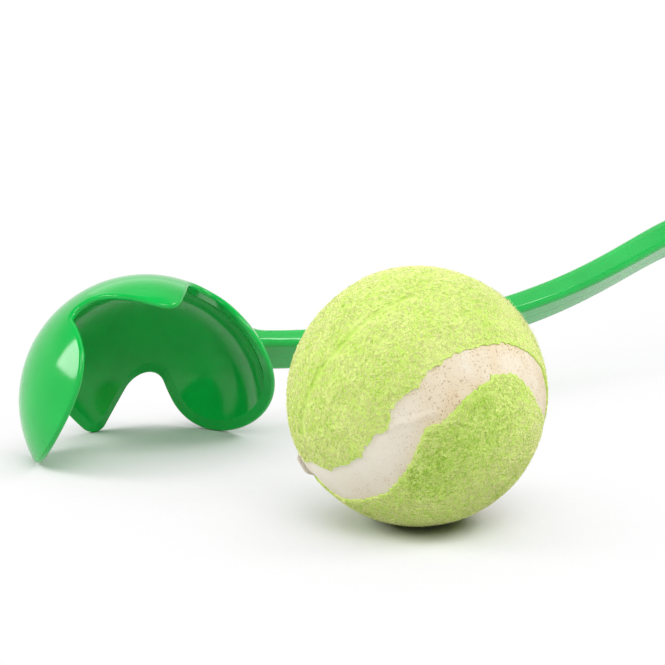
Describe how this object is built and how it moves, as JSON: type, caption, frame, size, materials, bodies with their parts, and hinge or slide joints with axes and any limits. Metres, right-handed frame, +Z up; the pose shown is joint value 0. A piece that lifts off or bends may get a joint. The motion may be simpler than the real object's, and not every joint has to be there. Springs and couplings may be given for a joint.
{
  "type": "dog tennis ball launcher",
  "caption": "Long curved plastic thrower with a notched spring cup, a finger grip with a hang hole, and a loose felt tennis ball beside it.",
  "frame": {"origin": "on the floor, under the middle of the outline of launcher and ball together", "axes": "+Z up from the floor; +X along the launcher from the cup towards the handle; +Y away from the ball, so the ball lies on the -Y side"},
  "size_m": [0.4506, 0.1612, 0.065],
  "materials": {
    "launcher_plastic": "smooth glossy injection-moulded green plastic",
    "ball_felt": "fuzzy needled yellow-green felt",
    "ball_seam": "matt off-white rubber seam",
    "ball_core": "moulded dark rubber"
  },
  "bodies": {
    "launcher": {"cup": "launcher_plastic", "throwing_arm": "launcher_plastic", "handle": "launcher_plastic"},
    "ball": {"core_half_upper": "ball_core", "core_half_lower": "ball_core", "core_bond": "ball_core", "felt_panel_inner": "ball_felt", "felt_panel_outer": "ball_felt", "felt_seam": "ball_seam"}
  },
  "joints": [
    {"name": "ball_roll_away", "type": "slide", "parent": "launcher", "child": "ball", "axis": [0, -1, 0], "range_m": [0, 0.25]}
  ]
}
